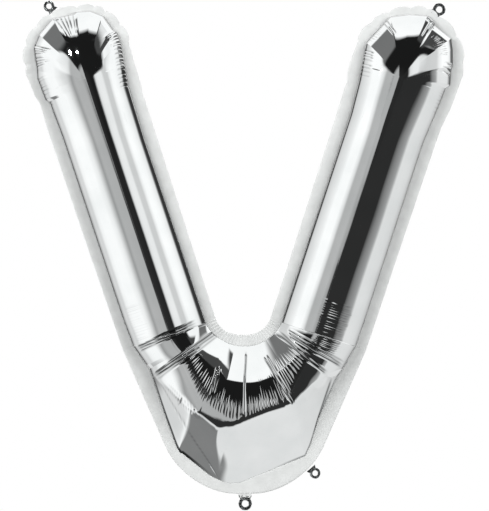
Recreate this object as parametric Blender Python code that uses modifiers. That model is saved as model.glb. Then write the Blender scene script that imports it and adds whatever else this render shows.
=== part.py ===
# Foil balloon in the shape of a capital V: two foil panels welded together along a flat
# seam that shows as a border all round, with four ring tabs to tie or hang it by.
# Metres. X runs across the letter, Z up it and Y through it, with the front at -Y.
# The origin is the centre of the gas, where the balloon's lift acts.
import bpy
import bmesh
from math import acos, atan2, cos, pi, radians, sin, tan
from mathutils import Vector

# The letter, measured with the balloon filled
ARM_TILT = radians(18.2)        # each arm from the vertical
ARM_LENGTH = 0.485              # from the crotch to the centre of the arm's round end
ARM_HALF = 0.0857               # from an arm's axis to the edge of its seam
CROTCH_RADIUS = 0.0416          # of the seam's edge between the arms
CROTCH_HEIGHT = 0.3003          # centre of that round above the letter's lowest edge
BASE_TILT = radians(23.8)       # the outer edges below the knees, from the vertical
BASE_RADIUS = 0.125             # round corners of the base
BASE_DEPTH = 0.076              # half the thickness of the letter at its base
LIFT_HEIGHT = 0.394             # centre of the gas above the lowest edge

# Seam and foil; the real film is far thinner
SEAM_WIDTH = 0.0216
SEAM_THICK = 0.0008
FOIL_THICK = 0.0010
SEAM_LEDGE = 0.0030             # how far the seam reaches in under a panel's rim
RIM_GAP = 0.0004                # between a panel's rim and the seam
EDGE_GAP = 0.0003               # between flat pieces that meet edge to edge

# Gathers: the creases round an arm's end, in degrees from its tip; the last row is the tip
CREASES = (
    # outer side, inner side
    (90.0, 90.0),
    (80.5, 69.2),
    (61.5, 46.5),
    (36.5, 33.1),
    (18.3, 13.3),
    (2.5, -2.5),
)
LOBE_HEIGHT = 0.0032            # of the scallops between the creases
PLEAT_DEPTH = 0.0035            # of the folds that fan out below the crotch

# Ring tabs, tail and valve
RING_RADIUS = 0.0103
HOLE_RADIUS = 0.0058
TAB_REACH = 0.0108              # from a tab's straight foot to the centre of its hole
TAB_FOOT = 0.0165
TAB_THICK = 0.0010
NECK_WIDTH = 0.0230
NECK_END_WIDTH = 0.0190
NECK_LENGTH = 0.0104
VALVE_WIDTH = 0.0150
VALVE_THICK = 0.0004
VALVE_LENGTH = 0.0280

# Fineness of the shapes
FAN_STEPS = 18                  # sections from the middle of the crotch to its end
BASE_STEPS = 36                 # along the seam from the middle of the bottom to the knee
ARM_STEPS = 6
LOBE_STEPS = 3
ARCH_STEPS = 12                 # faces across a section
RING_STEPS = 28
CORNER_STEP = 12                # of the base steps, the one that carries the corner's tab

UP_ARM = Vector((sin(ARM_TILT), cos(ARM_TILT)))
OUTWARD = Vector((cos(ARM_TILT), -sin(ARM_TILT)))
BOTTOM = -LIFT_HEIGHT
CROTCH = Vector((0.0, BOTTOM + CROTCH_HEIGHT))
ARM_FOOT = CROTCH + OUTWARD * (CROTCH_RADIUS + ARM_HALF)
CAP_CENTRE = ARM_FOOT + UP_ARM * ARM_LENGTH
KNEE = ARM_FOOT + OUTWARD * ARM_HALF
FAN_END = pi / 2 - ARM_TILT
SEAM_HALF = SEAM_THICK / 2


def clearScene():
    for item in list(bpy.data.objects):
        bpy.data.objects.remove(item, do_unlink=True)


def makeMaterial(name, colour, roughness, metallic):
    material = bpy.data.materials.new(name)
    material.use_nodes = True
    shader = material.node_tree.nodes["Principled BSDF"]
    shader.inputs["Base Color"].default_value = (*colour, 1.0)
    shader.inputs["Roughness"].default_value = roughness
    shader.inputs["Metallic"].default_value = metallic
    material.diffuse_color = (*colour, 1.0)
    return material


def addObject(name, data, material, collection):
    item = bpy.data.objects.new(name, data)
    data.materials.append(material)
    collection.objects.link(item)
    return item


# The seam's outer edge on the right half of the letter. Each function gives a point in the
# X-Z plane and the direction inwards there.

def capEdge(turn, lobe):
    """On an arm's round end, turn from its tip towards the outer side; lobe is 0 at a crease."""
    away = UP_ARM * cos(turn) + OUTWARD * sin(turn)
    return CAP_CENTRE + away * (ARM_HALF + LOBE_HEIGHT * lobe), -away


def armEdge(distance, side):
    """At this distance up the arm, on its inner side (-1) or outer side (1)."""
    return ARM_FOOT + UP_ARM * distance + OUTWARD * (side * ARM_HALF), OUTWARD * -side


def crotchEdge(angle):
    """On the round between the arms, from its middle (0) to where the arm begins (FAN_END)."""
    away = Vector((sin(angle), -cos(angle)))
    return CROTCH + away * CROTCH_RADIUS, away


def baseEdge(share):
    """From the middle of the bottom (0) round the corner and up to the knee (1)."""
    bend = pi / 2 - BASE_TILT
    slope = Vector((sin(BASE_TILT), cos(BASE_TILT)))
    corner = KNEE - slope * ((KNEE.y - BOTTOM) / slope.y)
    tangent = BASE_RADIUS * tan(bend / 2)
    flat = corner.x - tangent
    arc = BASE_RADIUS * bend
    straight = (KNEE - corner).length - tangent
    run = share * (flat + arc + straight)
    if run <= flat:
        return Vector((run, BOTTOM)), Vector((0.0, 1.0))
    if run <= flat + arc:
        turn = (run - flat) / BASE_RADIUS
        away = Vector((sin(turn), -cos(turn)))
        return Vector((flat, BOTTOM + BASE_RADIUS)) + away * BASE_RADIUS, -away
    along = tangent + run - flat - arc
    return corner + slope * along, Vector((-slope.y, slope.x))


def capSteps():
    """Round an arm's end, from the arm to its tip: (inner edge, outer edge, share of depth)."""
    steps = []
    lastLobe = len(CREASES) - 2
    for index in range(lastLobe + 1):
        outerStart, innerStart = CREASES[index]
        outerEnd, innerEnd = CREASES[index + 1]
        rise = pi / 2 if index == lastLobe else pi
        for step in range(LOBE_STEPS):
            share = step / LOBE_STEPS
            outer = radians(outerStart + (outerEnd - outerStart) * share)
            inner = radians(innerStart + (innerEnd - innerStart) * share)
            lobe = sin(rise * share)
            depth = sin((inner + outer) / 2)
            steps.append((capEdge(-inner, lobe), capEdge(outer, lobe), depth))
    tip = capEdge(radians(CREASES[-1][0]), 1.0)
    steps.append((tip, tip, 0.0))
    return steps


def letterEdge(inset):
    """Closed outline of the letter, moved inwards by inset."""
    cap = capSteps()
    half = [baseEdge(step / BASE_STEPS) for step in range(BASE_STEPS)]
    half.append(armEdge(0.0, 1))
    half += [outer for inner, outer, depth in cap]
    half += [inner for inner, outer, depth in cap[-2::-1]]
    half += [crotchEdge(FAN_END * (1 - step / FAN_STEPS)) for step in range(FAN_STEPS + 1)]
    right = [point + inwards * inset for point, inwards in half]
    left = [Vector((-point.x, point.y)) for point in right[1:-1]]
    return right + left[::-1]


def panelSections():
    """Sections of a panel's right half, from the middle of the letter to the tip of its arm.

    Each is (inner edge, outer edge, half depth, depth of its fold). In the last one both
    edges are the tip.
    """
    armDepth = ARM_HALF - SEAM_WIDTH
    sections = []
    for step in range(FAN_STEPS):
        share = step / FAN_STEPS
        ease = share * share * (3 - 2 * share)
        depth = BASE_DEPTH + (armDepth - BASE_DEPTH) * ease
        fold = PLEAT_DEPTH if step % 3 == 1 else 0.0
        sections.append((crotchEdge(share * FAN_END), baseEdge(share), depth, fold))
    for step in range(ARM_STEPS):
        distance = ARM_LENGTH * step / ARM_STEPS
        sections.append((armEdge(distance, -1), armEdge(distance, 1), armDepth, 0.0))
    for inner, outer, share in capSteps():
        sections.append((inner, outer, armDepth * share, 0.0))
    return sections


def makePanel(name, side, material, collection):
    """A foil panel, side -1 at the front and 1 at the back: an arch over each section."""
    rim = SEAM_HALF + RIM_GAP
    sections = panelSections()
    shape = bmesh.new()
    rows = []
    for (inner, fromInner), (outer, fromOuter), depth, fold in sections[:-1]:
        start = inner + fromInner * SEAM_WIDTH
        end = outer + fromOuter * SEAM_WIDTH
        middle = (start + end) / 2
        row = []
        for step in range(ARCH_STEPS + 1):
            angle = pi * step / ARCH_STEPS
            place = middle + (start - middle) * cos(angle)
            height = rim + depth * sin(angle) - fold * max(0.0, sin(2 * angle))
            row.append(shape.verts.new((place.x, side * height, place.y)))
        rows.append(row)
    tip, fromTip = sections[-1][0]
    tip = tip + fromTip * SEAM_WIDTH
    point = shape.verts.new((tip.x, side * rim, tip.y))
    for low, high in zip(rows, rows[1:]):
        for step in range(ARCH_STEPS):
            shape.faces.new((low[step], low[step + 1], high[step + 1], high[step])[::-side])
    for step in range(ARCH_STEPS):
        shape.faces.new((rows[-1][step], rows[-1][step + 1], point)[::-side])
    mesh = bpy.data.meshes.new(name)
    shape.to_mesh(mesh)
    shape.free()
    mesh.shade_smooth()
    panel = addObject(name, mesh, material, collection)
    mirror = panel.modifiers.new("left half", "MIRROR")
    mirror.merge_threshold = 0.0001
    wall = panel.modifiers.new("foil", "SOLIDIFY")
    wall.thickness = FOIL_THICK
    wall.offset = -1.0


def makeFlat(name, outlines, thickness, material, collection):
    """An upright flat piece cut to closed outlines, of which the second is its hole."""
    curve = bpy.data.curves.new(name, "CURVE")
    curve.dimensions = "2D"
    curve.fill_mode = "BOTH"
    curve.extrude = thickness / 2
    for outline in outlines:
        spline = curve.splines.new("POLY")
        spline.points.add(len(outline) - 1)
        for place, (across, up) in zip(spline.points, outline):
            place.co = (across, up, 0.0, 1.0)
        spline.use_cyclic_u = True
    piece = addObject(name, curve, material, collection)
    piece.rotation_euler = (pi / 2, 0.0, 0.0)
    return piece


def tabOutlines():
    """A ring on a foot whose straight sides touch the ring, and the ring's hole."""
    halfFoot = TAB_FOOT / 2
    reach = Vector((halfFoot, TAB_REACH)).length
    touch = atan2(halfFoot, -TAB_REACH) - acos(RING_RADIUS / reach)
    outer = [(-halfFoot, 0.0), (halfFoot, 0.0)]
    for step in range(RING_STEPS + 1):
        angle = touch * (1 - 2 * step / RING_STEPS)
        outer.append((RING_RADIUS * sin(angle), TAB_REACH + RING_RADIUS * cos(angle)))
    hole = []
    for step in range(RING_STEPS):
        angle = 2 * pi * step / RING_STEPS
        hole.append((HOLE_RADIUS * sin(angle), TAB_REACH + HOLE_RADIUS * cos(angle)))
    return outer, hole


def makeTab(name, edge, side, material, collection):
    """A ring tab on a stretch of edge, two points anticlockwise, mirrored to side -1 or 1."""
    first, second = edge
    run = second - first
    away = Vector((run.y, -run.x)).normalized()
    foot = (first + second) / 2 + away * EDGE_GAP
    tab = makeFlat(name, tabOutlines(), TAB_THICK, material, collection)
    tab.location = (side * foot.x, 0.0, foot.y)
    tab.rotation_euler = (pi / 2, atan2(side * away.x, away.y), 0.0)


def makeNeck(name, material, collection):
    top = BOTTOM - EDGE_GAP
    end = top - NECK_LENGTH
    outline = (
        (-NECK_WIDTH / 2, top),
        (NECK_WIDTH / 2, top),
        (NECK_END_WIDTH / 2, end),
        (-NECK_END_WIDTH / 2, end),
    )
    makeFlat(name, [outline], SEAM_THICK, material, collection)
    return end


def makeValve(name, material, collection):
    """The valve's film on the back of the tail and seam, ending short of the weld."""
    top = BOTTOM + SEAM_WIDTH - SEAM_THICK
    half = VALVE_WIDTH / 2
    outline = ((-half, top), (half, top), (half, top - VALVE_LENGTH), (-half, top - VALVE_LENGTH))
    valve = makeFlat(name, [outline], VALVE_THICK, material, collection)
    valve.location.y = SEAM_HALF + EDGE_GAP + VALVE_THICK / 2


def build():
    clearScene()
    balloon = bpy.data.collections.new("letter_foil_balloon")
    bpy.context.scene.collection.children.link(balloon)
    mirrorFoil = makeMaterial("mirror_foil", (0.86, 0.87, 0.87), 0.04, 1.0)
    seamFoil = makeMaterial("seam_foil", (0.74, 0.75, 0.75), 0.38, 0.8)
    tabFoil = makeMaterial("tab_foil", (0.55, 0.56, 0.56), 0.12, 1.0)
    valveFilm = makeMaterial("valve_film", (0.80, 0.81, 0.82), 0.30, 0.0)

    makePanel("front_panel", -1, mirrorFoil, balloon)
    makePanel("back_panel", 1, mirrorFoil, balloon)
    outlines = (letterEdge(0.0), letterEdge(SEAM_WIDTH + SEAM_LEDGE))
    makeFlat("seam_flange", outlines, SEAM_THICK, seamFoil, balloon)
    neckEnd = makeNeck("fill_neck", seamFoil, balloon)
    makeValve("valve_film", valveFilm, balloon)

    cap = [outer[0] for inner, outer, depth in capSteps()]
    armTop = (cap[-3], cap[-2])
    corner = [baseEdge(step / BASE_STEPS)[0] for step in (CORNER_STEP, CORNER_STEP + 1)]
    neck = (Vector((-NECK_END_WIDTH / 2, neckEnd)), Vector((NECK_END_WIDTH / 2, neckEnd)))
    makeTab("tab_top_left", armTop, -1, tabFoil, balloon)
    makeTab("tab_top_right", armTop, 1, tabFoil, balloon)
    makeTab("tab_bottom", neck, 1, tabFoil, balloon)
    makeTab("tab_bottom_right", corner, 1, tabFoil, balloon)


build()
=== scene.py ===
# Foil balloon in the shape of a capital V, dressed around its solids.
# Metres, in the frame of the solids: X across the letter, Z up it, the front at -Y.
from functools import partial
from math import atan2, cos, degrees, pi, radians, sin, sqrt, tan

import bpy
import bmesh
import numpy as np
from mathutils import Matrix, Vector


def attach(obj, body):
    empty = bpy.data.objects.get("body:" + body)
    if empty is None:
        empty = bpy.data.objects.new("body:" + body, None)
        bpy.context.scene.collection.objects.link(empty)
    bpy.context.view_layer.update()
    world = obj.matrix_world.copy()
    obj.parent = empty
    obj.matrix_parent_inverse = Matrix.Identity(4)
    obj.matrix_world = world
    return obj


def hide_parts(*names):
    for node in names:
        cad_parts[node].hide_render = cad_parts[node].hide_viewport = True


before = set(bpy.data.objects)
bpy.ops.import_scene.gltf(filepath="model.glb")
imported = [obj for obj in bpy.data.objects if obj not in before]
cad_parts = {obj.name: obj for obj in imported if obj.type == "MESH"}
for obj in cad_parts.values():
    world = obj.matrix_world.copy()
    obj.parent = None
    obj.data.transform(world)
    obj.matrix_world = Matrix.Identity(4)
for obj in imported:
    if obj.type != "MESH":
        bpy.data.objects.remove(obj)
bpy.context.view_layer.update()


def step(words):
    print("scene:", words, flush=True)


# sRGB hex to linear RGBA
def linear(hexColour):
    values = [int(hexColour[i:i + 2], 16) / 255 for i in (1, 3, 5)]
    return tuple(v / 12.92 if v <= 0.04045 else ((v + 0.055) / 1.055) ** 2.4 for v in values) + (1.0,)


# Adds a node. Settings are its own properties; inputs are values or other sockets, named as
# the node's sockets with _ for a space, or _0, _1 and so on by place.
def addNode(tree, kind, settings=(), **inputs):
    node = tree.nodes.new(kind)
    for name, value in dict(settings).items():
        setattr(node, name, value)
    for name, value in inputs.items():
        socket = node.inputs[int(name[1:]) if name[1:].isdigit() else name.replace("_", " ")]
        if isinstance(value, bpy.types.NodeSocket):
            tree.links.new(value, socket)
        else:
            socket.default_value = value
    return node


# The result of a maths node; a vector one needs its kind
def work(tree, operation, *values, kind="ShaderNodeMath"):
    named = {"_%d" % k: value for k, value in enumerate(values)}
    return addNode(tree, kind, {"operation": operation}, **named).outputs[0]


# 0 to 1 as a value goes from low to high, with soft ends
def softStep(tree, value, low, high):
    return addNode(tree, "ShaderNodeMapRange", {"interpolation_type": "SMOOTHSTEP"},
                   Value=value, From_Min=low, From_Max=high).outputs[0]


def addObject(name, data):
    item = bpy.data.objects.new(name, data)
    bpy.context.scene.collection.objects.link(item)
    return item


def smooth(x):
    x = np.clip(x, 0.0, 1.0)
    return x * x * (3 - 2 * x)


def table(rows, x):
    return np.interp(x, [row[0] for row in rows], [row[1] for row in rows])


# How far along a chain of points each one lies
def runAlong(chain):
    return np.concatenate([[0.0], np.cumsum(np.linalg.norm(np.diff(chain, axis=0), axis=1))])


def faceNormals(points, triangles):
    corners = points[triangles]
    return np.cross(corners[:, 1] - corners[:, 0], corners[:, 2] - corners[:, 0])


# A line's start, the way along it, the way to its left and its length
def lineFrame(x1, z1, x2, z2, unit=1):
    start, end = np.array([x1, z1]) / unit, np.array([x2, z2]) / unit
    length = np.linalg.norm(end - start)
    along = (end - start) / length
    return start, along, np.array([-along[1], along[0]]), length


# Four-sided faces between the neighbours in a grid of ids; a closed one joins its two sides
def gridFaces(ids, closed=False):
    columns = ids.shape[1] if closed else ids.shape[1] - 1
    after = np.roll(ids, -1, axis=1)
    return [
        (ids[r, k], after[r, k], after[r + 1, k], ids[r + 1, k])
        for r in range(len(ids) - 1) for k in range(columns)
    ]


# The letter's outline: the driving sizes of the solids, in metres and radians
letter = dict(
    armTilt=radians(18.2),
    armLength=0.485,
    armHalf=0.0857,
    crotchRadius=0.0416,
    crotchHeight=0.3003,
    baseTilt=radians(23.8),
    baseRadius=0.125,
    baseDepth=0.076,
    bottom=-0.394,
    tubeDepth=0.0641,
)
upArm = np.array([sin(letter["armTilt"]), cos(letter["armTilt"])])
outward = np.array([cos(letter["armTilt"]), -sin(letter["armTilt"])])
crotch = np.array([0.0, letter["bottom"] + letter["crotchHeight"]])
armFoot = crotch + outward * (letter["crotchRadius"] + letter["armHalf"])
capCentre = armFoot + upArm * letter["armLength"]
knee = armFoot + outward * letter["armHalf"]
fanEnd = pi / 2 - letter["armTilt"]
fanRidge = (letter["crotchRadius"] + letter["crotchHeight"]) / 2
sideNames = {-1: "left", 1: "right"}


# The seam's outer edge from the middle of the bottom (0) to the knee (1), and the way in
def baseEdge(share):
    slope = np.array([sin(letter["baseTilt"]), cos(letter["baseTilt"])])
    corner = knee - slope * ((knee[1] - letter["bottom"]) / slope[1])
    radius = letter["baseRadius"]
    bend = pi / 2 - letter["baseTilt"]
    tangent = radius * tan(bend / 2)
    flat = corner[0] - tangent
    run = share * (flat + radius * bend + np.linalg.norm(knee - corner) - tangent)
    if run <= flat:
        return np.array([run, letter["bottom"]]), np.array([0.0, 1.0])
    if run <= flat + radius * bend:
        turn = (run - flat) / radius
        away = np.array([sin(turn), -cos(turn)])
        return np.array([flat, letter["bottom"] + radius]) + away * radius, -away
    return corner + slope * (tangent + run - flat - radius * bend), np.array([-slope[1], slope[0]])


# The weld line inside the seam, in mm: a chain of chords, as gas pulls the foil straight
# between its gathers
weld = dict(
    # round the crotch: share of the way to the arm, distance from the crotch's centre
    crotch=dict(
        left=((0, 60.5), (0.5, 62.5), (1, 68.7)),
        right=((0, 60.5), (0.5, 62), (1, 65.8)),
    ),
    # share of the base's edge from the middle to the knee, seam's width there
    base=dict(
        left=((0, 14), (0.08, 12), (0.12, 14), (0.25, 20.5), (0.36, 17.5), (0.42, 16),
              (0.6, 20), (0.86, 28.5), (0.885, 26), (1, 18.5)),
        right=((0, 14), (0.06, 19.5), (0.12, 24.5), (0.2, 26.5), (0.291, 23.5), (0.36, 16.5),
               (0.42, 20), (0.6, 27), (0.8, 27), (0.88, 23), (1, 18.5)),
    ),
    # distance down the arm from its end's centre, weld from the arm's axis
    outerSide=dict(
        left=((0, 76), (12, 79.5), (50, 78), (56, 72.5), (120, 69.9),
              (440, 68.9), (485, 67.2)),
        right=((0, 75), (24, 81), (31, 75.5), (68, 73), (130, 67.9),
               (440, 67.9), (485, 67.2)),
    ),
    innerSide=dict(
        left=((0, 70), (25, 66), (71, 59.5), (160, 57.6), (485, 58.6)),
        right=((0, 73), (10, 72), (62, 65), (120, 61.1), (485, 61.5)),
    ),
    # distance down the arm, half the width its crown goes by; drift is the crown's, outwards
    crown=dict(
        left=((0, 73), (60, 69), (140, 64), (485, 63.7)),
        right=((0, 74), (60, 69.5), (140, 64.5), (485, 64.3)),
    ),
    drift=dict(left=2.3, right=-3),
    # degrees from the tip outwards, distance from the end's centre
    ends=dict(
        left=((-72.6, 72), (-66.5, 69.5), (-46.4, 77.6), (-30, 78.4), (-13.7, 75.6),
              (-10.1, 72.3), (17.6, 78.8), (43.5, 78), (61, 79.6), (77.4, 75.4)),
        right=((-71.6, 67), (-60, 66.8), (-42.4, 73.2), (-17.4, 71), (6.4, 75.6),
               (18.4, 73.2), (21.7, 68), (48.6, 77.7), (62.5, 74.8), (83.7, 75.6)),
    ),
)

# How finely the foil is divided and how its parts join, in mm
mesh = dict(
    across=80,  # faces over an arch
    fanPitch=0.9,  # between arches at the fold's ridge
    armPitch=6,
    capPitch=1,  # near an arm's round end
    capReach=75,
    footPitch=1.3,  # near an arm's foot
    footReach=62,
    footBlend=30,  # over which an arm takes up its own weld
    ringPitch=0.9,  # round an arm's end
    capStart=40,  # how far below the end's centre its half rings start
    capGap=3,  # without corners of the weld just above that start
    capLength=74,  # from the end's centre to the tip
    standOff=0.6,  # of each panel from the middle plane
    # where an arm's flank starts to follow the weld, over how much, as shares of half its width
    flank=(0.45, 0.5),
    chord=(0.4, 0.5),  # the same for an end's half rings, from ovals to the weld's chords
)


# Distances up the arm, closer together near its two ends
def armStations():
    length = letter["armLength"] * 1000 - mesh["capStart"]
    places = [0.0]
    while places[-1] < length:
        place = places[-1]
        pitch = mesh["armPitch"]
        if place < mesh["footReach"]:
            pitch = mesh["footPitch"]
        if length - place < mesh["capReach"]:
            pitch = mesh["capPitch"]
        places.append(place + pitch)
    return np.array(places) * (length / 1000 / places[-1])


# Where the base's flat facets cut the fan between the arms. Each starts at a straight weld
# and rises at its slope; round is the radius of the crease to its neighbour. In mm.
facets = dict(
    crotchShare=0.7,  # the arch that starts here ends at edgeShare of the base's edge
    edgeShare=0.815,
    elbow=dict(left=0.705, right=0.775),  # the facets end here, by share of the fan
    elbowBlend=0.024,
    # share of the fan, share of the arch where it breaks and falls straight to the weld
    brow=dict(
        left=((0, 0.55), (0.12, 0.58), (0.2, 0.64), (0.35, 0.64), (0.5, 0.7), (0.6, 0.814),
              (0.68, 0.947), (0.72, 0.99)),
        right=((0, 0.55), (0.2, 0.535), (0.35, 0.55), (0.5, 0.67), (0.6, 0.76), (0.7, 0.88),
               (0.78, 0.99)),
    ),
    browRound=5,
    # how steeply the fan rises in a straight line from the inner weld, by share of the fan
    rise=dict(
        left=((0, 1.22), (0.2, 1.25), (0.4, 1.7), (0.75, 1.8), (0.95, 3)),
        right=((0, 1.22), (0.3, 1.25), (0.7, 1.4), (0.9, 3)),
    ),
    riseRound=7,
    sharpWithin=30,  # mm from the weld, within which a crease gets sharper towards it
    planes=(
        # from x, z, to x, z, slope, round
        (-31, -390, 105, -335, 0.8, 5),
        (-105, -331, -42, -381.5, 1, 4),
    ),
)


# The share of the base's edge where the arch at a share of the fan ends
def edgeShareAt(share):
    return table(((0, 0), (facets["crotchShare"], facets["edgeShare"]), (1, 1)), share)


# The lower of two heights, with a rounded corner
def lower(a, b, roundness):
    near = np.clip(0.5 + 0.5 * (b - a) / roundness, 0.0, 1.0)
    return b + (a - b) * near - roundness * near * (1 - near)


# Heights cut by a plane that rises with the reach from its start
def cutByPlane(height, reach, slope, radius):
    corner = radius / 1000 * smooth(reach * 1000 / facets["sharpWithin"]) + 1e-6
    return lower(height, np.maximum(reach, 0.0) * slope, corner)


# Heights in metres over points in the plane, cut by the base's facets
def cutFacets(flat, height, angles, share, side):
    over = (1 - np.cos(angles)) / 2
    brow = table(facets["brow"][sideNames[side]], share)
    fall = 2 * sqrt(brow * (1 - brow)) * height.max() * (1 - over) / (1 - brow)
    cut = lower(height, fall, facets["browRound"] / 1000)
    for *ends, slope, radius in facets["planes"]:
        start, along, inwards, length = lineFrame(*ends, unit=1000)
        cut = cutByPlane(cut, (flat - start) @ inwards, slope, radius)
    blend = facets["elbowBlend"]
    keep = smooth((facets["elbow"][sideNames[side]] + blend / 2 - share) / blend)
    return np.maximum(height + (cut - height) * keep, 0.0)


# A point of the weld, moved in onto the facet that it lies beyond
def ontoFacets(point):
    for *ends, slope, radius in facets["planes"]:
        start, along, inwards, length = lineFrame(*ends, unit=1000)
        reach = (point - start) @ inwards
        if 0 <= (point - start) @ along <= length and reach < 0:
            point = point - inwards * reach
    return point


# Half an ellipse from start to end, as points in the plane and heights
def arch(start, end, depth, angles):
    middle, half = (start + end) / 2, (start - end) / 2
    return middle + half * np.cos(angles)[:, None], depth * np.sin(angles)


# An arm's arch: its crown runs straight along the arm and only its flanks follow the weld
def armArch(axis, inner, outer, crown, angles):
    across = np.cos(angles)
    start, width = mesh["flank"]
    follow = (inner - outer) / 2 + across * (inner + outer) / 2
    straight = (crown[0] - crown[1]) / 2 + across * (crown[0] + crown[1]) / 2
    reach = straight + (follow - straight) * smooth((np.abs(across) - start) / width)
    return axis - outward * reach[:, None] / 1000, letter["tubeDepth"] * np.sin(angles)


# Arches from the letter's middle to the end of the arm on side -1 or 1, each with its kind
# (0 base, 1 arm) and its share of the fan or distance up the arm
def sectionRows(side):
    name = sideNames[side]
    mirror = np.array([side, 1.0])
    angles = np.linspace(0, pi, mesh["across"] + 1)
    rows, marks = [], []

    def keep(flat, height, mark):
        rows.append(np.stack([flat[:, 0], -height, flat[:, 1]], 1))
        marks.append(mark)

    fanSteps = int(fanEnd * fanRidge * 1000 / mesh["fanPitch"])
    for i in range(fanSteps):
        share = i / fanSteps
        away = np.array([sin(share * fanEnd), -cos(share * fanEnd)])
        start = crotch + away * table(weld["crotch"][name], share) / 1000
        edge, inwards = baseEdge(edgeShareAt(share))
        end = edge + inwards * table(weld["base"][name], edgeShareAt(share)) / 1000
        end = ontoFacets(end * mirror) * mirror
        depth = letter["baseDepth"] + (letter["tubeDepth"] - letter["baseDepth"]) * smooth(share)
        flat, height = arch(start * mirror, end * mirror, depth, angles)
        height = cutFacets(flat, height, angles, share, side)
        reach = np.hypot(*(flat - start * mirror).T)
        height = cutByPlane(height, reach, table(facets["rise"][name], share), facets["riseRound"])
        keep(flat, height, (0, share))
    kneeWeld = letter["armHalf"] * 1000 - table(weld["base"][name], 1)
    footWeld = (letter["crotchRadius"] + letter["armHalf"]) * 1000 - table(weld["crotch"][name], 1)
    for distance in armStations():
        down = (letter["armLength"] - distance) * 1000
        blend = smooth(distance * 1000 / mesh["footBlend"])
        inner = footWeld + (table(weld["innerSide"][name], down) - footWeld) * blend
        outer = kneeWeld + (table(weld["outerSide"][name], down) - kneeWeld) * blend
        half, drift = table(weld["crown"][name], down), weld["drift"][name]
        crown = (half - drift, half + drift)
        flat, height = armArch(armFoot + upArm * distance, inner, outer, crown, angles)
        keep(flat * mirror, height, (1, distance))
    return rows, marks


# Triangles between two chains of points, whose places run from 0 to 1
def stitch(low, high, lowAt, highAt):
    faces = []
    i = j = 0
    while i < len(low) - 1 or j < len(high) - 1:
        highDone, lowDone = j == len(high) - 1, i == len(low) - 1
        if highDone or not lowDone and sum(lowAt[i:i + 2]) < sum(highAt[j:j + 2]):
            faces.append((low[i], low[i + 1], high[j]))
            i += 1
        else:
            faces.append((low[i], high[j + 1], high[j]))
            j += 1
    return faces


# Closes an arm with half rings round its crown; returns the ids along the weld
def endRings(points, marks, faces, last, side):
    half = mesh["across"] // 2
    crown = last[half]
    centre = points[crown][[0, 2]]
    mirror = np.array([side, 1.0])
    tipWay, outWay, middle = upArm * mirror, outward * mirror, capCentre * mirror
    inner, outer = [
        [middle - tipWay * down / 1000 + outWay * sign * reach / 1000
         for down, reach in weld[name][sideNames[side]] if down < mesh["capStart"] - mesh["capGap"]]
        for name, sign in (("innerSide", -1), ("outerSide", 1))]
    rim = [points[last[0]][[0, 2]]] + inner[::-1]
    for turn, reach in weld["ends"][sideNames[side]]:
        rim.append(middle + (tipWay * cos(radians(turn)) + outWay * sin(radians(turn))) * reach / 1000)
    rim = np.array(rim + outer + [points[last[-1]][[0, 2]]])
    run = runAlong(rim)
    long = (mesh["capStart"] + mesh["capLength"]) / 1000
    start, width = mesh["chord"]
    previous, previousAt = [crown], [0.0]
    for k in range(1, half + 1):
        psi = pi / 2 * k / half
        count = max(3, int(round(run[-1] * sin(psi) * 1000 / mesh["ringPitch"])))
        at = np.arange(count + 1) / count
        flat = np.stack([np.interp(at * run[-1], run, rim[:, axis]) for axis in (0, 1)], 1) - centre
        reach = np.linalg.norm(flat, axis=1)
        beside, ahead = flat @ outWay / reach, flat @ tipWay / reach
        flanks = [np.linalg.norm(points[last[at]][[0, 2]] - centre) for at in (half - k, half + k)]
        wide = np.where(beside < 0, *flanks) / sin(psi)
        oval = 1 / np.hypot(beside / wide, ahead / long)
        drawn = oval + (reach - oval) * smooth((sin(psi) - start) / width)
        flat = centre + flat / reach[:, None] * drawn[:, None] * sin(psi)
        ids = [last[half - k]]
        for q in range(1, count):
            ids.append(len(points))
            points.append(np.array([flat[q, 0], -letter["tubeDepth"] * cos(psi), flat[q, 1]]))
            away = flat[q] - middle
            marks.append((2, degrees(atan2(away @ outWay, away @ tipWay)), psi))
        ids.append(last[half + k])
        if k == 1:
            faces += [(crown, ids[q], ids[q + 1]) for q in range(count)]
        else:
            faces += stitch(previous, ids, previousAt, at)
        previous, previousAt = ids, list(at)
    return previous


# The front panel before it gathers: points, faces, marks (kind, place along the letter, angle
# over the arch, side), which points are welded, and the weld line in order
def foilGrid():
    left, leftMarks = sectionRows(-1)
    right, rightMarks = sectionRows(1)
    rows = np.array(left[:0:-1] + right)
    rowMarks = [(*mark, -1) for mark in leftMarks[:0:-1]] + [(*mark, 1) for mark in rightMarks]
    angles = np.linspace(0, pi, rows.shape[1])
    points = list(rows.reshape(-1, 3))
    marks = [(kind, place, angle, side) for kind, place, side in rowMarks for angle in angles]
    ids = np.arange(len(points)).reshape(-1, rows.shape[1])
    faces = gridFaces(ids)
    loops = {}
    for last, side in ((ids[0], -1), (ids[-1], 1)):
        endMarks = []
        loops[side] = endRings(points, endMarks, faces, list(last), side)
        marks += [(*mark, side) for mark in endMarks]
    points = np.array(points)
    outer, inner = [
        [(names[kind], side, place, ids[r, column]) for r, (kind, place, side) in enumerate(rowMarks)]
        for column, names in ((-1, ("base", "outer")), (0, ("crotch", "inner")))]
    ends = {side: [("end", side, 0.0, point) for point in loops[side][1:-1]] for side in loops}
    loop = outer + ends[1][::-1] + inner[::-1] + ends[-1]
    fixed = np.zeros(len(points), bool)
    fixed[[point for *_, point in loop]] = True
    loop = [(kind, side, place, points[point][[0, 2]]) for kind, side, place, point in loop]
    normals = faceNormals(points, np.array([face[:3] for face in faces]))
    faces = [face if normal[1] < 0 else face[::-1] for face, normal in zip(faces, normals)]
    return points, faces, np.array(marks), fixed, loop


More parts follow.
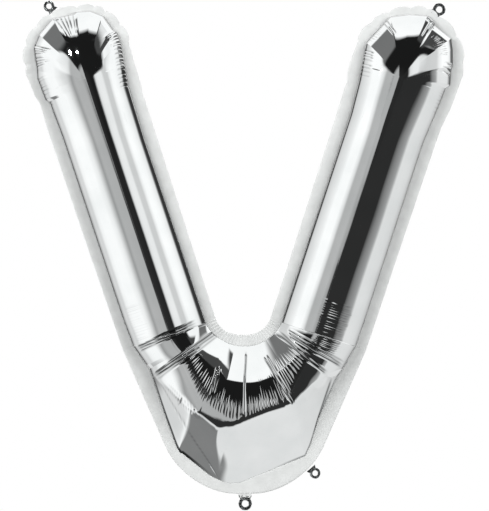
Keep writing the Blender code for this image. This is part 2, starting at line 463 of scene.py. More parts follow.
# How the foil gathers. Each row is a bundle of pleats: the region, its side (-1 left), where it
# starts and ends along the weld, how many pleats, their depth in mm, and how far over the
# region they reach. Along a fan the place is the share of the way to the arm, signed by side;
# round an end it is the turn in degrees; on an arm it is mm down from the end's centre. Over a
# fan or an arm 0 is the inner weld and 1 the outer; over an end 0 is the crown and 1 the weld.
gathers = dict(
    seed=11,
    bundles=(
        ("fan", -1, -0.7, -0.02, 25, 0.75, 0.31, 0.53),
        ("fan", 1, -0.02, 0.76, 29, 0.8, 0.27, 0.53),
        ("end", -1, -101, -67, 8, 1.3, 0.52, 1),
        ("end", -1, -12, 19, 6, 1.7, 0.38, 1),
        ("end", -1, 54, 90, 9, 1.8, 0.46, 1),
        ("outer", -1, 8, 66, 10, 0.9, 0.78, 1),
        ("inner", -1, 8, 74, 10, 1, 0, 0.22),
        ("end", 1, -88, -64, 7, 0.9, 0.66, 1),
        ("end", 1, -60, -44, 3, 1.7, 0.4, 1),
        ("end", 1, 8, 26, 4, 1.7, 0.42, 1),
        ("end", 1, 30, 74, 13, 0.7, 0.46, 0.72),
        ("end", 1, 78, 100, 4, 2.4, 0.56, 1),
        ("inner", 1, 6, 58, 9, 1, 0, 0.24),
        ("outer", 1, 30, 80, 8, 0.6, 0.82, 1),
        ("foot", 1, -46, 64, 26, 0.55, 0.4, 0.74),
        ("foot", -1, -10, 70, 20, 0.2, 0.58, 0.86),
        ("foot", -1, -6, 92, 30, 0.3, 0.505, 0.565),
    ),
    fade=0.12,  # over which a pleat rises, as a share of the region
    late=0.28,  # how much later a pleat may start, as a share of its reach
    early=0.1,  # how much earlier it may stop
    least=0.55,  # depth of the shallowest pleat of a bundle
    blackFrom=1.7,  # the depth in mm at which the shade painted into a valley is as dark as it gets
    # broad slack over the base and along the arms: wavelength and height in mm
    slack=((74, 0.85), (41, 0.28)),
    armSlack=((118, 0.16), (47, 0.03)),
    # painted shade: the dark line where the film turns up at the weld, painted into the foil's colour:
    # width in mm, darkness
    weldLineShade=dict(
        armInner=dict(left=(5.4, 0.95), right=(2.6, 0.9)),
        armOuter=dict(left=(2.4, 0.9), right=(1.2, 0.55)),
        end=dict(left=(1.5, 0.7), right=(1.5, 0.7)),
        base=dict(left=(3.2, 0.95), right=(2, 0.6)),
    ),
    lineFade=0.9,
)

# Single folds: from x, z, to x, z, width, height (below 0 a valley), how many side by side
# and their pitch, all in mm on the front of the letter
folds = (
    (-40.8, -128.6, -152.3, -206.8, 7, -2.2, 3, 5),
    (-77.4, -112.8, -179.5, -160.2, 6, -1.3, 3, 4.5),
    (-66, -148.6, -150, -203, 3.5, -0.7, 1, 0),
    (52.4, -128.6, 137.3, -198.5, 7, -2, 2, 5),
    (70.7, -128.6, 165.6, -185.2, 7, -1.8, 3, 5),
    (2.5, -160.2, -1.7, -266.7, 5, -2, 1, 0),
    (32.4, -168.5, 82.4, -248.4, 6, -2.2, 2, 5),
    (-42.4, -186.8, -52.4, -231.8, 4, -1.2, 3, 4),
    (-143.6, -208.8, -40.4, -377.9, 4, -0.5, 1, 0),
    (-137.8, -214.6, -69.1, -277.5, 4, -0.4, 1, 0),
    (-129.3, -212.6, -46.1, -292.8, 4, -0.4, 1, 0),
    (145.6, -203.5, 105.7, -331.6, 6, -1.4, 1, 0),
)


# Rounded ridges with sharp valleys between them, over x from 0 to 1: the height from 0 in a
# valley to 1 on a ridge, and each ridge's number
def pleats(x, count, rng):
    borders = np.cumsum(np.concatenate([[0.0], rng.uniform(0.6, 1.4, count)]))
    borders /= borders[-1]
    number = np.clip(np.searchsorted(borders, x, side="right") - 1, 0, count - 1)
    local = (x - borders[number]) / (borders[number + 1] - borders[number])
    return 1 - (2 * local - 1) ** 2, number


# The relief of the bundles in metres, and the shade painted into each point by how deep in a valley it
# is
def addBundles(relief, valley, points, marks, rng):
    kind, place, angle, side = marks.T
    both = np.stack([side, np.ones(len(side))], 1)
    down = ((capCentre * both - points[:, [0, 2]]) * upArm * both).sum(1) * 1000
    over = np.where(kind == 2, 0.5 + np.sign(place) * angle / pi, angle / pi)
    fromFoot = np.where(kind == 0, (place - 1) * fanEnd * fanRidge, place) * 1000
    along = {
        "fan": (kind == 0, place * side, angle / pi),
        "end": (kind == 2, place, angle / (pi / 2)),
        "inner": (kind > 0, down, over),
        "outer": (kind > 0, down, over),
        "foot": (kind < 2, fromFoot, angle / pi),
    }
    for region, which, start, stop, count, depth, low, high in gathers["bundles"]:
        where, position, over = along[region]
        x = (position - start) / (stop - start)
        here = where & (x > 0) & (x < 1) & (side == which)
        height, number = pleats(x[here], count, rng)
        first = low + rng.uniform(0, gathers["late"], count) * (high - low)
        last = high - rng.uniform(0, gathers["early"], count) * (high - low)
        size = rng.uniform(gathers["least"], 1.0, count)
        fade = gathers["fade"]
        rise = smooth((over[here] - first[number]) / fade) if low > 0 else 1.0
        fall = smooth((last[number] - over[here]) / (fade / 3)) if high < 1 else 1.0
        ends = smooth(np.minimum(x[here], 1 - x[here]) * count)
        share = size[number] * rise * fall * ends
        relief[here] += depth / 1000 * (height - 1) * share
        valley[here] += min(1.0, depth / gathers["blackFrom"]) * (1 - height) ** 2 * share


# Broad waves of slack over the base's facets and along the arms
def addSlack(relief, flat, marks, rng):
    kind, place, angle, side = marks.T
    settled = smooth((np.sin(angle) - 0.05) / 0.4) * (kind < 2)
    onFacets = (kind == 0) * smooth((angle / pi - 0.56) / 0.1)
    for waves, share in ((gathers["slack"], onFacets), (gathers["armSlack"], kind == 1)):
        for wavelength, height in waves:
            for turn in rng.uniform(0, pi, 3):
                run = flat @ (cos(turn), sin(turn))
                wave = np.sin(run * 2 * pi / wavelength + rng.uniform(0, 2 * pi))
                relief += height / 3000 * wave * share * settled


# Single folds in the relief, with shade painted into their valleys
def addFolds(relief, valley, flat):
    for *ends, width, height, count, pitch in folds:
        start, along, aside, length = lineFrame(*ends)
        run, off = (flat - start) @ along / length, (flat - start) @ aside
        taper = smooth(run / 0.12) * smooth((1 - run) / 0.12)
        for index in range(count):
            wander = 0.5 * np.sin(run * 9.0 + index * 2.1)
            away = np.abs(off - (index - (count - 1) / 2) * pitch - wander) / (width / 2)
            fold = (1 - 0.25 * index) * np.clip(1 - away, 0, 1) ** 1.5 * taper
            relief += height / 1000 * fold
            valley += np.clip(-height / 1.2, 0, 1) * fold


# How far each point stands out from the taut foil in metres, and the shade painted into it by how deep
# in a valley it is
def reliefOf(points, marks, seed):
    rng = np.random.default_rng(seed)
    relief, valley = np.zeros(len(points)), np.zeros(len(points))
    flat = points[:, [0, 2]] * 1000
    addBundles(relief, valley, points, marks, rng)
    addSlack(relief, flat, marks, rng)
    addFolds(relief, valley, flat)
    return relief, np.clip(valley, 0, 1)


# The shade painted into the film along the weld, where it turns up, from 0 to 1
def weldShadow(marks):
    kind, place, angle, side = marks.T
    dark = np.zeros(len(marks))
    radius = letter["tubeDepth"] * 1000
    inner = radius * (1 - np.cos(angle))
    outer = radius * (1 + np.cos(angle))
    where = {
        "armInner": (kind == 1, inner, 1.0),
        "armOuter": (kind == 1, outer, 1.0),
        "end": (kind == 2, radius * (1 - np.sin(angle)), 1.0),
        "base": (kind == 0, outer, smooth((np.abs(place) - 0.12) / 0.2)),
    }
    for stretch, (here, distance, share) in where.items():
        for sign, name in sideNames.items():
            width, strength = gathers["weldLineShade"][stretch][name]
            line = strength * share * np.clip((width - distance) / gathers["lineFade"], 0, 1)
            dark = np.where(here & (side == sign), np.maximum(dark, line), dark)
    return dark


def triangulated(faces):
    return np.array([(face[0], *face[k:k + 2]) for face in faces for k in range(1, len(face) - 1)])


# The mean of the normals round each point, of length 1
def pointNormals(points, triangles):
    normal = faceNormals(points, triangles)
    total = np.stack([
        np.bincount(triangles.ravel(), weights=np.repeat(normal[:, axis], 3), minlength=len(points))
        for axis in range(3)], 1)
    return total / (np.linalg.norm(total, axis=1)[:, None] + 1e-15)


# A smooth plain mesh whose faces look along outwards, given as (axis, sign)
def meshObject(name, points, faces, outwards=None):
    data = bpy.data.meshes.new(name)
    data.from_pydata([tuple(point) for point in points], [], [tuple(map(int, face)) for face in faces])
    shape = bmesh.new()
    shape.from_mesh(data)
    bmesh.ops.recalc_face_normals(shape, faces=shape.faces)
    if outwards:
        axis, sign = outwards
        if sum(face.normal[axis] * face.calc_area() for face in shape.faces) * sign < 0:
            bmesh.ops.reverse_faces(shape, faces=shape.faces)
    shape.to_mesh(data)
    shape.free()
    data.shade_smooth()
    return addObject(name, data)


def makePanels():
    points, faces, marks, fixed, loop = foilGrid()
    triangles = triangulated(faces)
    step("foil grid of %d points, %d triangles" % (len(points), len(triangles)))
    normals = pointNormals(points, triangles)
    panels = []
    for name, side in (("front_foil", -1), ("back_foil", 1)):
        relief, valley = reliefOf(points, marks, gathers["seed"] + side)
        relief = np.where(fixed, 0.0, relief)
        # the painted shade of the valleys and of the line along the weld, kept as a value on each point
        valley = np.maximum(valley, weldShadow(marks))
        place = (points + normals * relief[:, None]) * (1, -side, 1)
        place += (0, side * mesh["standOff"] / 1000, 0)
        panel = meshObject(name, place, triangles, (1, side))
        panel.data.attributes.new("valley", "FLOAT", "POINT").data.foreach_set("value", valley)
        # the foil mirrors the studio alone, as the photo's arms do
        panel.visible_glossy = False
        panels.append(panel)
    return panels, loop


# The border with its scallops, in mm and degrees; turns go from an arm's tip outwards
seam = dict(
    thickness=0.4,
    across=10,
    # notches in the edge of the round ends: turn, distance from the end's centre
    notches=dict(
        left=((-90, 83.5), (-68.5, 83.7), (-45.9, 85.3), (-33.6, 86.3), (-14, 82.5),
              (17, 85.8), (36.9, 88.9), (60, 93), (80, 92.3), (90, 95.5)),
        right=((-90, 87.6), (-65.6, 83), (-42.6, 79.5), (-15, 80.8), (3, 84.8), (18, 83.3),
               (49, 86.4), (77, 91), (90, 96)),
    ),
    # distance down the arm from its end's centre, edge from the arm's axis
    outerEdge=dict(
        left=((0, 95.5), (14, 97.5), (30, 95.5), (51, 89), (56, 88.4), (95, 90.3), (151, 89.5),
              (291, 88.4), (404, 86.9), (485, 85.7)),
        right=((0, 96), (10, 97.6), (19, 96.2), (21, 94.4), (26, 95.6), (62, 93.6), (95, 88.9),
               (151, 88), (292, 86.8), (485, 85.7)),
    ),
    innerEdge=dict(
        left=((0, 83.5), (9, 80.6), (12, 80.4), (22, 82), (60, 81.6), (80, 80.5), (84, 79.2),
              (150, 78.9), (346, 77.6), (485, 77.2)),
        right=((0, 87.6), (4, 86.8), (8, 88.6), (35, 90.3), (62, 86.5), (72, 83.9), (82, 84.6),
               (152, 83.6), (348, 82.4), (485, 82.1)),
    ),
    sag=5.6,  # how far the bottom hangs below the solid's straight edge
    sagReach=110,  # from the bottom's middle to where the sag ends
    lobe=4.2,  # height of a scallop between two notches
    buckle=1.6,  # how far a scallop stands out of the plane
    waves=(17, 29, 43),  # slow waves round the whole letter
    waveHeight=0.18,
    ripple=0.35,  # fine radial pleats under the crotch
    ripplePitch=4.2,
    seed=5,
)


# The seam's edge beside a point of the weld round the right arm's end: its place and how far
# through a scallop it is, 0 at a notch
def scallopAt(point, name):
    away = point - capCentre
    turn = float(np.clip(degrees(atan2(away @ outward, away @ upArm)), -90, 90))
    notches = seam["notches"][name]
    turns = [row[0] for row in notches]
    spot = int(np.clip(np.searchsorted(turns, turn) - 1, 0, len(turns) - 2))
    through = (turn - turns[spot]) / (turns[spot + 1] - turns[spot])
    lobe = sin(pi * through)
    reach = table(notches, turn) + seam["lobe"] * lobe ** 0.6 * (turns[spot + 1] < 90)
    way = upArm * cos(radians(turn)) + outward * sin(radians(turn))
    return capCentre + way * reach / 1000, lobe


# The same along the whole weld line
def edgeLoop(rims):
    places, lobes = [], []
    for kind, side, value, point in rims:
        mirror = np.array([side, 1.0])
        name = sideNames[side]
        down = (letter["armLength"] - value) * 1000
        lobe = 0.0
        if kind == "end":
            place, lobe = scallopAt(point * mirror, name)
        elif kind == "base":
            place = baseEdge(edgeShareAt(value))[0]
            place = place - (0.0, seam["sag"] / 1000 * smooth(1 - place[0] * 1000 / seam["sagReach"]))
        elif kind == "crotch":
            away = np.array([sin(value * fanEnd), -cos(value * fanEnd)])
            footEdge = table(seam["innerEdge"][name], letter["armLength"] * 1000) / 1000
            foot = letter["crotchRadius"] + letter["armHalf"] - footEdge
            reach = letter["crotchRadius"]
            place = crotch + away * (reach + (foot - reach) * smooth(value))
        else:
            reach = table(seam[kind + "Edge"][name], down) * (1 if kind == "outer" else -1)
            place = armFoot + upArm * value + outward * reach / 1000
        places.append(place * mirror)
        lobes.append(lobe)
    return np.array(places), np.array(lobes)


# The flat border, from the weld line to its scalloped edge
def makeSeam(rims):
    inner = np.array([rim[3] for rim in rims])
    edge, lobes = edgeLoop(rims)
    underCrotch = np.array([rim[0] == "crotch" for rim in rims])
    rng = np.random.default_rng(seam["seed"])
    run = runAlong(edge)
    whole = run[-1] + np.linalg.norm(edge[0] - edge[-1])
    slow = sum(np.sin(run * 2 * pi * wave / whole + rng.uniform(0, 2 * pi)) for wave in seam["waves"])
    fine = np.sin(run * 1000 * 2 * pi / seam["ripplePitch"] + 1.3 * slow) * underCrotch
    grid = []
    for row in range(seam["across"] + 1):
        out = row / seam["across"]
        place = inner + (edge - inner) * out
        lift = (seam["waveHeight"] * slow - seam["buckle"] * lobes) * out ** 1.4
        lift = lift + seam["ripple"] * fine * (0.3 + out)
        grid.append(np.stack([place[:, 0], lift / 1000, place[:, 1]], 1))
    points = np.concatenate(grid)
    faces = gridFaces(np.arange(len(points)).reshape(len(grid), -1), closed=True)
    piece = meshObject("seam_border", points, faces, (1, -1))
    piece.visible_glossy = False
    solid(piece, seam["thickness"])
    return piece


# Gives a sheet its thickness in mm, half to each side
def solid(piece, thickness):
    wall = piece.modifiers.new("thickness", "SOLIDIFY")
    wall.thickness = thickness / 1000
    wall.offset = 0.0
    applyModifiers(piece)


def applyModifiers(piece):
    graph = bpy.context.evaluated_depsgraph_get()
    data = bpy.data.meshes.new_from_object(piece.evaluated_get(graph))
    piece.modifiers.clear()
    piece.data = data
    data.shade_smooth()


# The ring tabs, each on a foot that grows out of the seam, in metres. A Geometry Nodes tree
# makes a ring and its foot, sets one at each point, and crumples them a little.
tabs = dict(
    # x, z of the ring's centre, the way to its foot in degrees (90 is up), size
    places=(
        (-0.3254, 0.4118, -47.0, 0.88),
        (0.3240, 0.4062, -137.0, 1.02),
        (0.0012, -0.4160, 90.0, 1.08),
        (0.1175, -0.3652, 131.0, 0.88),
    ),
    inputs={
        "Ring Radius": 0.0077,  # to the middle of the band
        "Band Width": 0.0052,
        "Thickness": 0.0009,
        "Foot Reach": 0.0126,
        "Foot Half Width": 0.0104,
        "Crumple": 0.0026,
        "Seed": 4.0,
    },
    grain=1000 / 210,  # of the crumple, in mm
    push=(0.9, 2.4, 0.9),  # its share along each axis
)


def ringTabTree(material):
    tree = bpy.data.node_groups.new("ring_tabs", "GeometryNodeTree")
    face = tree.interface
    face.new_socket("Geometry", in_out="INPUT", socket_type="NodeSocketGeometry")
    for name in tabs["inputs"]:
        face.new_socket(name, in_out="INPUT", socket_type="NodeSocketFloat")
    face.new_socket("Geometry", in_out="OUTPUT", socket_type="NodeSocketGeometry")
    given = addNode(tree, "NodeGroupInput").outputs
    maths = partial(work, tree)

    def shape(kind, **inputs):
        return addNode(tree, "GeometryNode" + kind, **inputs).outputs[0]

    def vector(**parts):
        return addNode(tree, "ShaderNodeCombineXYZ", **parts).outputs[0]

    def attribute(name):
        node = addNode(tree, "GeometryNodeInputNamedAttribute", {"data_type": "FLOAT"}, Name=name)
        return node.outputs["Attribute"]

    # the ring: a round band, pressed flat
    half = maths("DIVIDE", given["Band Width"], 2.0)
    path = shape("CurvePrimitiveCircle", Resolution=56, Radius=given["Ring Radius"])
    band = shape("CurvePrimitiveCircle", Resolution=16, Radius=half)
    ring = shape("CurveToMesh", Curve=path, Profile_Curve=band)
    squash = maths("DIVIDE", given["Thickness"], given["Band Width"])
    ring = shape("Transform", Geometry=ring, Scale=vector(X=1.0, Y=1.0, Z=squash))
    # the foot: a plate from within the band outwards, wider at its end
    within = maths("MULTIPLY", given["Band Width"], 0.3)
    start = maths("SUBTRACT", given["Ring Radius"], within)
    length = maths("SUBTRACT", given["Foot Reach"], start)
    width = maths("MULTIPLY", given["Foot Half Width"], 2.0)
    size = vector(X=width, Y=length, Z=given["Thickness"])
    plate = shape("MeshCube", Size=size, Vertices_X=14, Vertices_Y=7, Vertices_Z=2)
    middle = maths("MULTIPLY", maths("ADD", given["Foot Reach"], start), -0.5)
    plate = shape("Transform", Geometry=plate, Translation=vector(Y=middle))
    at = addNode(tree, "ShaderNodeSeparateXYZ", _0=shape("InputPosition")).outputs
    inwards = maths("DIVIDE", maths("ADD", at["Y"], given["Foot Reach"]), length)
    narrow = maths("MULTIPLY", at["X"], maths("MULTIPLY", inwards, -0.30))
    plate = shape("SetPosition", Geometry=plate, Offset=vector(X=narrow))
    join = addNode(tree, "GeometryNodeJoinGeometry")
    for part in (plate, ring):
        tree.links.new(part, join.inputs[0])
    upright = shape("Transform", Geometry=join.outputs[0], Rotation=(pi / 2, 0.0, 0.0))
    # one at each point, turned and sized by the point's own values
    turn = vector(Y=attribute("turn"))
    placed = shape("InstanceOnPoints", Points=given["Geometry"], Instance=upright, Rotation=turn,
                   Scale=attribute("size"))
    real = shape("RealizeInstances", Geometry=placed)
    # the crumple: pushes of the noise, strongest out of the plane
    crease = addNode(tree, "ShaderNodeTexNoise", {"noise_dimensions": "4D"},
                     W=given["Seed"], Scale=1000 / tabs["grain"], Detail=3.0, Roughness=0.6)
    kind = "ShaderNodeVectorMath"
    centred = maths("SUBTRACT", crease.outputs["Color"], (0.5, 0.5, 0.5), kind=kind)
    pushed = addNode(tree, kind, {"operation": "SCALE"}, _0=centred, Scale=given["Crumple"]).outputs[0]
    real = shape("SetPosition", Geometry=real, Offset=maths("MULTIPLY", pushed, tabs["push"], kind=kind))
    painted = shape("SetMaterial", Geometry=real, Material=material)
    tree.links.new(painted, addNode(tree, "NodeGroupOutput").inputs[0])
    return tree


def makeTabs(material):
    piece = meshObject("ring_tabs", [(x, 0.0, z) for x, z, way, size in tabs["places"]], [])
    turns = [atan2(-cos(radians(way)), -sin(radians(way))) for x, z, way, size in tabs["places"]]
    for name, values in (("turn", turns), ("size", [row[3] for row in tabs["places"]])):
        piece.data.attributes.new(name, "FLOAT", "POINT").data.foreach_set("value", values)
    tree = ringTabTree(material)
    maker = piece.modifiers.new("ring_tabs", "NODES")
    maker.node_group = tree
    for socket in tree.interface.items_tree:
        if socket.in_out == "INPUT" and socket.name in tabs["inputs"]:
            maker[socket.identifier] = tabs["inputs"][socket.name]
    applyModifiers(piece)
    return piece


# The neck below the seam: two crumpled layers of foil pressed together, in mm
def makeNeck():
    size = dict(
        top=25.0, bottom=18.6, start=-396.4, end=-405.6, thickness=0.8, across=34, down=14,
        behind=-0.15, crumple=0.26, seed=9,
        # share of the crumple, turns across and down the neck in radians
        waves=((1.0, 8.5, 1.6), (0.6, 17.0, -2.3), (0.5, 2.2, 6.0)),
    )
    phases = np.random.default_rng(size["seed"]).uniform(0, 2 * pi, 6)
    points = []
    for row in range(size["down"] + 1):
        low = row / size["down"]
        half = (size["top"] + (size["bottom"] - size["top"]) * low) / 2
        for column in range(size["across"] + 1):
            side = 2 * column / size["across"] - 1
            x = side * (half + 0.25 * sin(9.0 * low + phases[0]))
            z = size["start"] + (size["end"] - size["start"]) * low
            z += 0.3 * sin(3.1 * side + phases[1]) * low
            pleat = sum(high * sin(across * side + down * low + phase)
                        for (high, across, down), phase in zip(size["waves"], phases[2:]))
            y = size["behind"] + size["crumple"] * pleat * (0.25 + low)
            points.append((x / 1000, y / 1000, z / 1000))
    ids = np.arange(len(points)).reshape(size["down"] + 1, -1)
    # the other way round, which decides how each is halved
    faces = [(a, d, c, b) for a, b, c, d in gridFaces(ids)]
    piece = meshObject("neck_foil", points, faces, (1, -1))
    solid(piece, size["thickness"])
    return piece


# The finishes. body: colour, metallic, roughness; tint: grain in mm, dark, light; satin: grain
# in mm, roughness from and to; bumps: grain and height in mm, the grain's stretch and detail.
finishes = dict(
    # metallised nylon film, blown taut: a mirror with faint rolling lines across the arms
    mirror_foil=dict(
        body=("#E9EBEB", 1.0, 0.035),
        tint=(60.0, "#E4E7E7", "#EDEFEF"),
        satin=(25.0, 0.025, 0.055),
        bumps=((9.0, 0.012, (0.08, 0.08, 1.0), 2.0), (3.5, 0.004, (1, 1, 1), 2.0)),
        # the colour of the shade painted into the valleys and along the weld
        valley="#2C2F2F",
    ),
    # the same film welded flat: the heat seal leaves it satin with a fine dotted press mark
    satin_seam=dict(
        body=("#DCDEDD", 0.1, 0.5),
        tint=(18.0, "#D9DBDA", "#E3E5E4"),
        satin=(6.0, 0.42, 0.58),
        dots=(1.3, 0.010),
        bumps=((7.0, 0.05),),
    ),
    # tab film, dark where it mirrors the room, its tint paler or darker in random patches
    tab_foil=dict(
        body=("#8A8E8E", 1.0, 0.14),
        tint=(4.0, "#6A6E6E", "#B4B8B8"),
        satin=(2.0, 0.10, 0.26),
        bumps=((2.2, 0.1),),
    ),
    # polyethylene valve film, milky and matt
    valve_film=dict(
        body=("#E6E8E8", 0.0, 0.38),
        tint=(5.0, "#DDE0E0", "#ECEEEE"),
        satin=(3.0, 0.32, 0.46),
        bumps=((3.0, 0.03, (1, 1, 0.2)),),
        transmission=0.35,
    ),
)


def makeMaterial(name, colour, metallic, roughness):
    material = bpy.data.materials.new(name)
    material.use_nodes = True
    shader = material.node_tree.nodes["Principled BSDF"]
    shader.inputs["Base Color"].default_value = linear(colour)
    shader.inputs["Metallic"].default_value = metallic
    shader.inputs["Roughness"].default_value = roughness
    return material, material.node_tree, shader


# Noise in the piece's own place. Its scale is one over the size of its grain in mm.
def grain(tree, millimetres, stretch=(1, 1, 1), detail=3.0):
    place = addNode(tree, "ShaderNodeTexCoord").outputs["Object"]
    across = work(tree, "MULTIPLY", place, stretch, kind="ShaderNodeVectorMath")
    noise = addNode(tree, "ShaderNodeTexNoise", Vector=across, Scale=1000 / millimetres, Detail=detail)
    return noise.outputs[0]


# A value from low to high as the noise goes from 0.3 to 0.7
def spread(tree, noise, low, high):
    limits = dict(From_Min=0.3, From_Max=0.7, To_Min=low, To_Max=high)
    return addNode(tree, "ShaderNodeMapRange", Value=noise, **limits).outputs[0]


def mixColours(tree, share, under, over):
    node = addNode(tree, "ShaderNodeMix", {"data_type": "RGBA"}, _0=share, _6=under, _7=over)
    return node.outputs[2]


def makeFinish(name):
    finish = finishes[name]
    material, tree, shader = makeMaterial(name, *finish["body"])
    size, dark, light = finish["tint"]
    share = spread(tree, grain(tree, size), 0.0, 1.0)
    colour = mixColours(tree, share, linear(dark), linear(light))
    if "valley" in finish:
        # painted shade: a sharp valley mirrors its own other side again and again and so turns dark;
        # that darkening, with the line along the weld, is painted into the colour here
        valley = addNode(tree, "ShaderNodeAttribute", {"attribute_name": "valley"}).outputs["Fac"]
        colour = mixColours(tree, valley, colour, linear(finish["valley"]))
    tree.links.new(colour, shader.inputs["Base Color"])
    size, low, high = finish["satin"]
    tree.links.new(spread(tree, grain(tree, size), low, high), shader.inputs["Roughness"])
    shader.inputs["Transmission Weight"].default_value = finish.get("transmission", 0.0)
    heights = [(grain(tree, size, *noise), height) for size, height, *noise in finish["bumps"]]
    if "dots" in finish:
        pitch, height = finish["dots"]
        place = addNode(tree, "ShaderNodeTexCoord").outputs["Object"]
        dots = addNode(tree, "ShaderNodeTexVoronoi", Vector=place, Scale=1000 / pitch)
        heights.insert(0, (dots.outputs["Distance"], height))
    # bumps of so many mm, one over the other
    under = {}
    for height, millimetres in heights:
        bump = addNode(tree, "ShaderNodeBump", Strength=1.0, Distance=millimetres / 1000,
                       Height=height, **under)
        under = {"Normal": bump.outputs[0]}
    tree.links.new(under["Normal"], shader.inputs["Normal"])
    return material


# The studio that the foil mirrors, in degrees: around is the turn round the camera's axis,
# 0 straight up and positive to the right; off is the angle from that axis.
studio = dict(
    gain=1.3,
    sweeps=(
        # name, around from, and the light at some angles off the axis
        ("under left", -190, (
            (0, 0.03), (5, 0.5), (12, 0.5), (17, 0.03), (52, 0.03), (62, 0.9), (180, 0.8))),
        ("lower left", -128, (
            (3, 0.03), (5, 0.5), (28, 0.52), (36, 0.39), (46, 0.75), (54, 1.0), (64, 1.15), (88, 1.15),
            (102, 1.07), (114, 0.8), (134, 0.78), (155, 0.35), (180, 0.03))),
        ("upper left", -90, (
            (3, 0.03), (6, 0.4), (15, 0.55), (34, 0.53), (40, 0.9), (50, 1.17), (98, 1.18), (113, 1.02),
            (130, 0.85), (146, 0.7), (154, 0.15), (180, 0.03))),
        ("over left", -60, (
            (0, 0.03), (5, 0.5), (14, 0.5), (19, 0.012), (66, 0.012), (72, 1.15), (155, 1.15))),
        ("over right", -20, ((0, 0.03), (14, 0.012), (54, 0.012), (60, 1.15), (155, 1.15))),
        ("upper right", 62, (
            (0, 0.03), (18, 0.02), (23, 0.9), (30, 1.0), (40, 1.0), (46, 0.73), (62, 0.74), (70, 1.0),
            (82, 1.18), (98, 1.18), (112, 1.12), (126, 0.95), (133, 0.2), (180, 0.03))),
        ("lower right", 90, (
            (0, 0.03), (53, 0.03), (58, 0.25), (67, 0.42), (73, 0.88), (92, 0.87), (118, 0.82),
            (140, 0.69), (160, 0.4), (180, 0.03))),
        ("under right", 128, ((0, 0.03), (52, 0.03), (62, 0.9), (180, 0.8))),
    ),
    soft=5.0,
    panels=(
        # around from, to, off from, to, soft edge, light
        ("grey wall above", -60, -33, 50, 112, 10, 0.20),
        ("dark wall above", 27, 50, 50, 110, 5, 0.07),
        ("grey floor", -162, -131, 76, 126, 8, 0.25),
    ),
    # two small lamps before the left end: away from it in metres, radius, light
    lamps=(
        ((-0.373, -0.623, 0.335), 0.031, 7.0),
        ((-0.140, -0.677, 0.401), 0.027, 7.0),
    ),
    lampSpread=50,
    # two soft lights in front that only matt foil and the floor show: x, z, power
    fronts=((-1.6, 0.9, 57.0), (1.7, 0.7, 57.0)),
    frontAway=2.6,
    frontSize=1.4,
)


def makeWorld():
    world = bpy.data.worlds.new("studio")
    bpy.context.scene.world = world
    world.use_nodes = True
    tree = world.node_tree
    tree.nodes.clear()
    place = addNode(tree, "ShaderNodeTexCoord").outputs["Generated"]
    parts = addNode(tree, "ShaderNodeSeparateXYZ", _0=place).outputs
    maths = partial(work, tree)

    def edge(value, middle, width):
        return softStep(tree, value, middle - width / 2, middle + width / 2)

    def mix(share, under, over):
        node = addNode(tree, "ShaderNodeMix", {"data_type": "FLOAT"}, _0=share, _2=under, _3=over)
        return node.outputs[0]

    off = maths("DEGREES", maths("ARCCOSINE", maths("MULTIPLY", parts["Y"], -1.0)))
    around = maths("DEGREES", maths("ARCTAN2", parts["X"], parts["Z"]))
    light = 0.5
    for name, start, stops in studio["sweeps"]:
        ramp = addNode(tree, "ShaderNodeValToRGB", {"label": name}, _0=maths("DIVIDE", off, 180.0))
        elements = ramp.color_ramp.elements
        while len(elements) < len(stops):
            elements.new(0.5)
        for element, (angle, strength) in zip(elements, stops):
            element.position = angle / 180
            element.color = (strength / studio["gain"],) * 3 + (1.0,)
        shown = maths("MULTIPLY", ramp.outputs[0], studio["gain"])
        light = mix(edge(around, start, studio["soft"]), light, shown)
    for name, left, right, near, far, soft, strength in studio["panels"]:
        beside = maths("MINIMUM", edge(around, left, soft), edge(around, right, -soft))
        within = maths("MINIMUM", edge(off, near, soft), edge(off, far, -soft))
        light = mix(maths("MINIMUM", beside, within), light, strength)
    seen = addNode(tree, "ShaderNodeLightPath").outputs["Is Camera Ray"]
    backdrop = addNode(tree, "ShaderNodeBackground", Color=mix(seen, light, 1.0))
    addNode(tree, "ShaderNodeOutputWorld", Surface=backdrop.outputs[0])
    world.cycles.sampling_method = "MANUAL"
    world.cycles.sample_map_resolution = 1024


def makeLight(name, place, aim, size, power):
    data = bpy.data.lights.new(name, "AREA")
    data.shape = "DISK"
    data.size = size
    data.energy = power
    light = addObject(name, data)
    light.location = place
    light.rotation_euler = (Vector(aim) - Vector(place)).to_track_quat("-Z", "Y").to_euler()
    light.visible_camera = False
    return light


def makeLights():
    for index, (across, up, power) in enumerate(studio["fronts"]):
        place = (across, -studio["frontAway"], up)
        light = makeLight("front_light_%d" % index, place, (0, 0, 0), studio["frontSize"], power)
        light.visible_glossy = False
    end = Vector((-capCentre[0], -letter["tubeDepth"], capCentre[1]))
    for index, (away, radius, strength) in enumerate(studio["lamps"]):
        power = strength * pi * pi * radius ** 2
        light = makeLight("lamp_%d" % index, end + Vector(away), end, 2 * radius, power)
        light.visible_diffuse = False
        light.data.spread = radians(studio["lampSpread"])


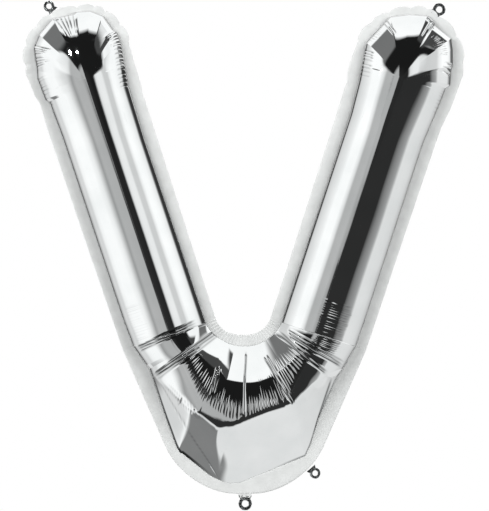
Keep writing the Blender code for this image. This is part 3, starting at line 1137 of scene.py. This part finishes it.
# A round of pale floor below the balloon, which fades to white at its rim
def makeFloor():
    size = dict(radius=1.15, height=-0.55, rings=24, around=96, plainWithin=0.55)
    points = [(0.0, 0.0, size["height"])]
    for ring in range(1, size["rings"] + 1):
        reach = size["radius"] * ring / size["rings"]
        for k in range(size["around"]):
            turn = 2 * pi * k / size["around"]
            points.append((reach * cos(turn), reach * sin(turn), size["height"]))
    ids = np.arange(1, len(points)).reshape(size["rings"], -1)
    faces = [(0, 1 + k, 1 + (k + 1) % size["around"]) for k in range(size["around"])]
    floor = meshObject("floor", points, faces + gridFaces(ids, closed=True), (2, 1))
    material, tree, shader = makeMaterial("pale_floor", "#F4F4F2", 0.0, 0.7)
    place = addNode(tree, "ShaderNodeTexCoord").outputs["Object"]
    level = work(tree, "MULTIPLY", place, (1, 1, 0), kind="ShaderNodeVectorMath")
    reach = addNode(tree, "ShaderNodeVectorMath", {"operation": "LENGTH"}, _0=level).outputs["Value"]
    fade = softStep(tree, reach, size["plainWithin"], size["radius"])
    white = addNode(tree, "ShaderNodeEmission", Color=(1, 1, 1, 1), Strength=1.0)
    blend = addNode(tree, "ShaderNodeMixShader", _0=fade, _1=shader.outputs[0], _2=white.outputs[0])
    tree.links.new(blend.outputs[0], tree.nodes["Material Output"].inputs["Surface"])
    floor.data.materials.append(material)
    # it neither shows in the foil nor casts its light up on it; the studio does both
    floor.visible_glossy = False
    floor.visible_diffuse = False


# Square on to the letter, from far enough that it shows almost no perspective
def makeCamera():
    view = dict(distance=6.0, height=0.8503, centre=-0.003)
    data = bpy.data.cameras.new("camera")
    data.lens = data.sensor_width * view["distance"] / view["height"]
    camera = addObject("camera", data)
    camera.location = (0.0, -view["distance"], view["centre"])
    camera.rotation_euler = (pi / 2, 0.0, 0.0)
    data.clip_end = 50.0
    bpy.context.scene.camera = camera
    bpy.context.scene.view_settings.view_transform = "Standard"


makeCamera()
makeWorld()
makeLights()
makeFloor()
step("studio made")
looks = {name: makeFinish(name) for name in finishes}
(front, back), loop = makePanels()
step("panels made")
border = makeSeam(loop)
neck = makeNeck()
rings = makeTabs(looks["tab_foil"])
step("seam, neck and tabs made")
for piece, look, slot, *nodes in (
    (front, "mirror_foil", "mirror_foil", "front_panel"),
    (back, "mirror_foil", "mirror_foil", "back_panel"),
    (border, "satin_seam", "seam_foil", "seam_flange"),
    (neck, "satin_seam", "seam_foil", "fill_neck"),
    (rings, "tab_foil", "tab_foil", "tab_top_left", "tab_top_right", "tab_bottom", "tab_bottom_right"),
):
    piece.data.materials.clear()
    piece.data.materials.append(looks[look])
    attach(piece, "root")
    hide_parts(*nodes)
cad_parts["valve_film"].material_slots[0].material = looks["valve_film"]
step("pieces placed")
